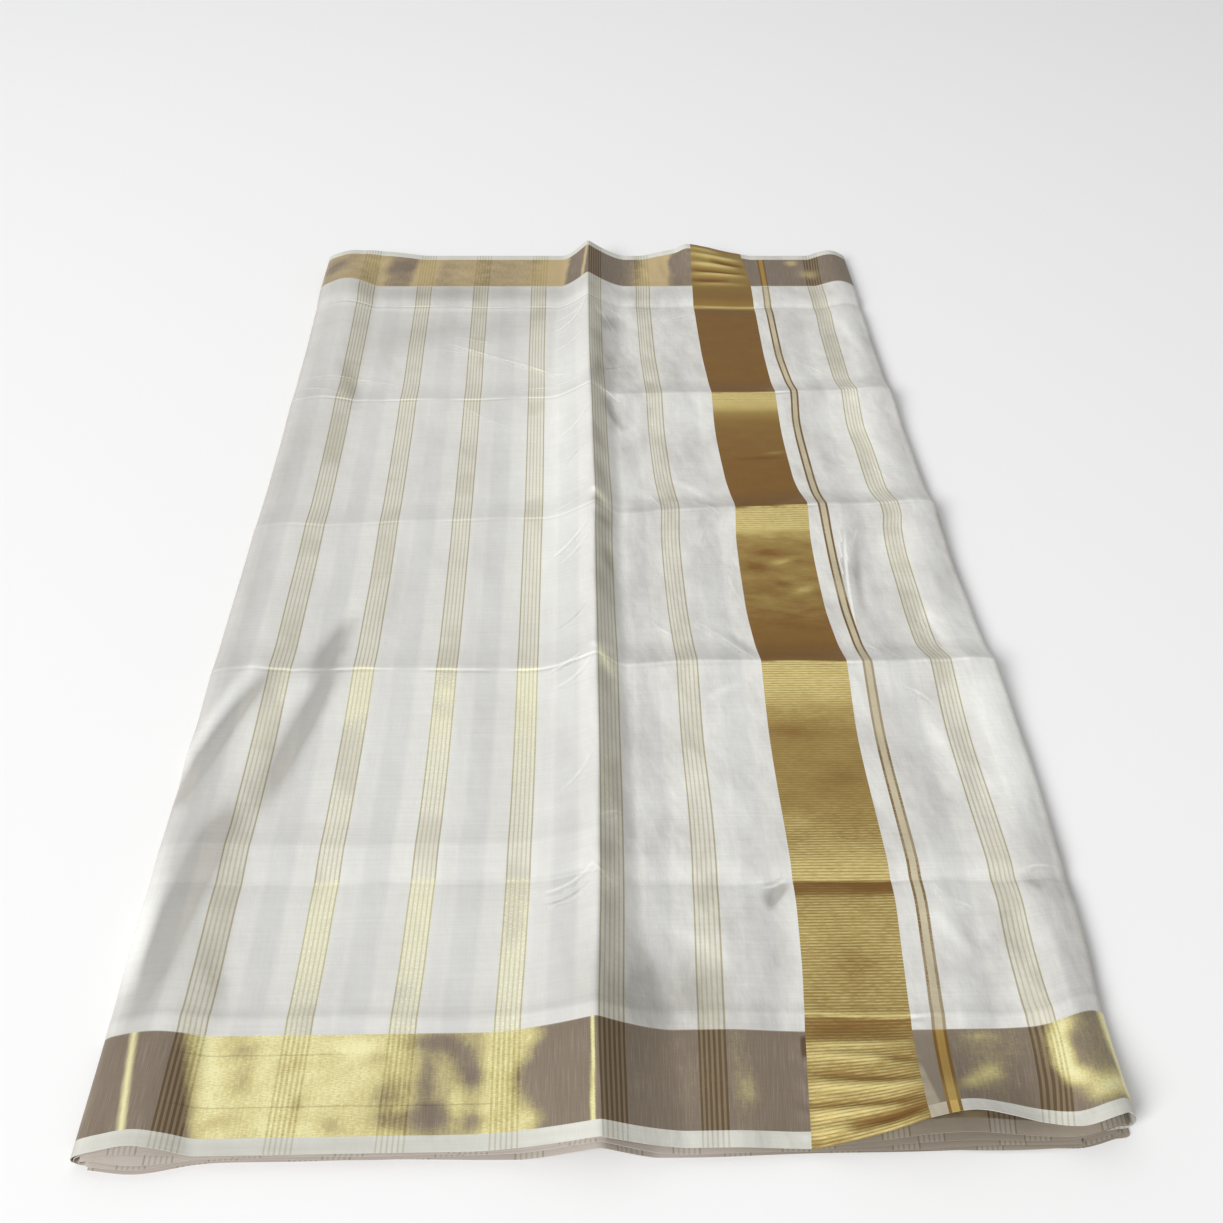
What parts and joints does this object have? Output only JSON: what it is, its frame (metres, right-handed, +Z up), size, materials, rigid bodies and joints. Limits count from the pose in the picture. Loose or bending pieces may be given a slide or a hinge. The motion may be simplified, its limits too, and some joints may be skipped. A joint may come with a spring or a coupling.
{
  "type": "kasavu saree, folded flat",
  "caption": "Off-white handloom cotton saree with zari borders, stripes and a gold pallu band, folded lengthwise in eight and laid flat.",
  "frame": {"origin": "on the surface it lies on, under the middle of the folded stack", "axes": "+X along the folded length, from the left fold to the right fold; +Y across the cloth, from the near border to the far border; +Z up"},
  "size_m": [0.6974, 1.16, 0.0362],
  "materials": {
    "cotton_field": "off-white plain-weave cotton with fine zari stripes and a soft sheen",
    "zari_border": "dull gold zari weave, bright where it faces the light",
    "zari_band": "dense gold zari weave with crosswise ribs",
    "selvedge": "off-white plain-weave cotton edge",
    "lower_layers": "edges of the same cloth, seen in the stack"
  },
  "bodies": {
    "root": {"field_left": "cotton_field", "field_middle": "cotton_field", "field_right": "cotton_field", "pallu_band": "zari_band", "near_border_left": "zari_border", "near_border_middle": "zari_border", "near_border_right": "zari_border", "far_border_left": "zari_border", "far_border_middle": "zari_border", "far_border_right": "zari_border", "near_selvedge_left": "selvedge", "near_selvedge_middle": "selvedge", "near_selvedge_right": "selvedge", "far_selvedge_left": "selvedge", "far_selvedge_middle": "selvedge", "far_selvedge_right": "selvedge", "second_layer_left": "lower_layers", "second_layer_right": "lower_layers", "third_layer_right": "lower_layers", "folded_core": "lower_layers"}
  },
  "joints": []
}
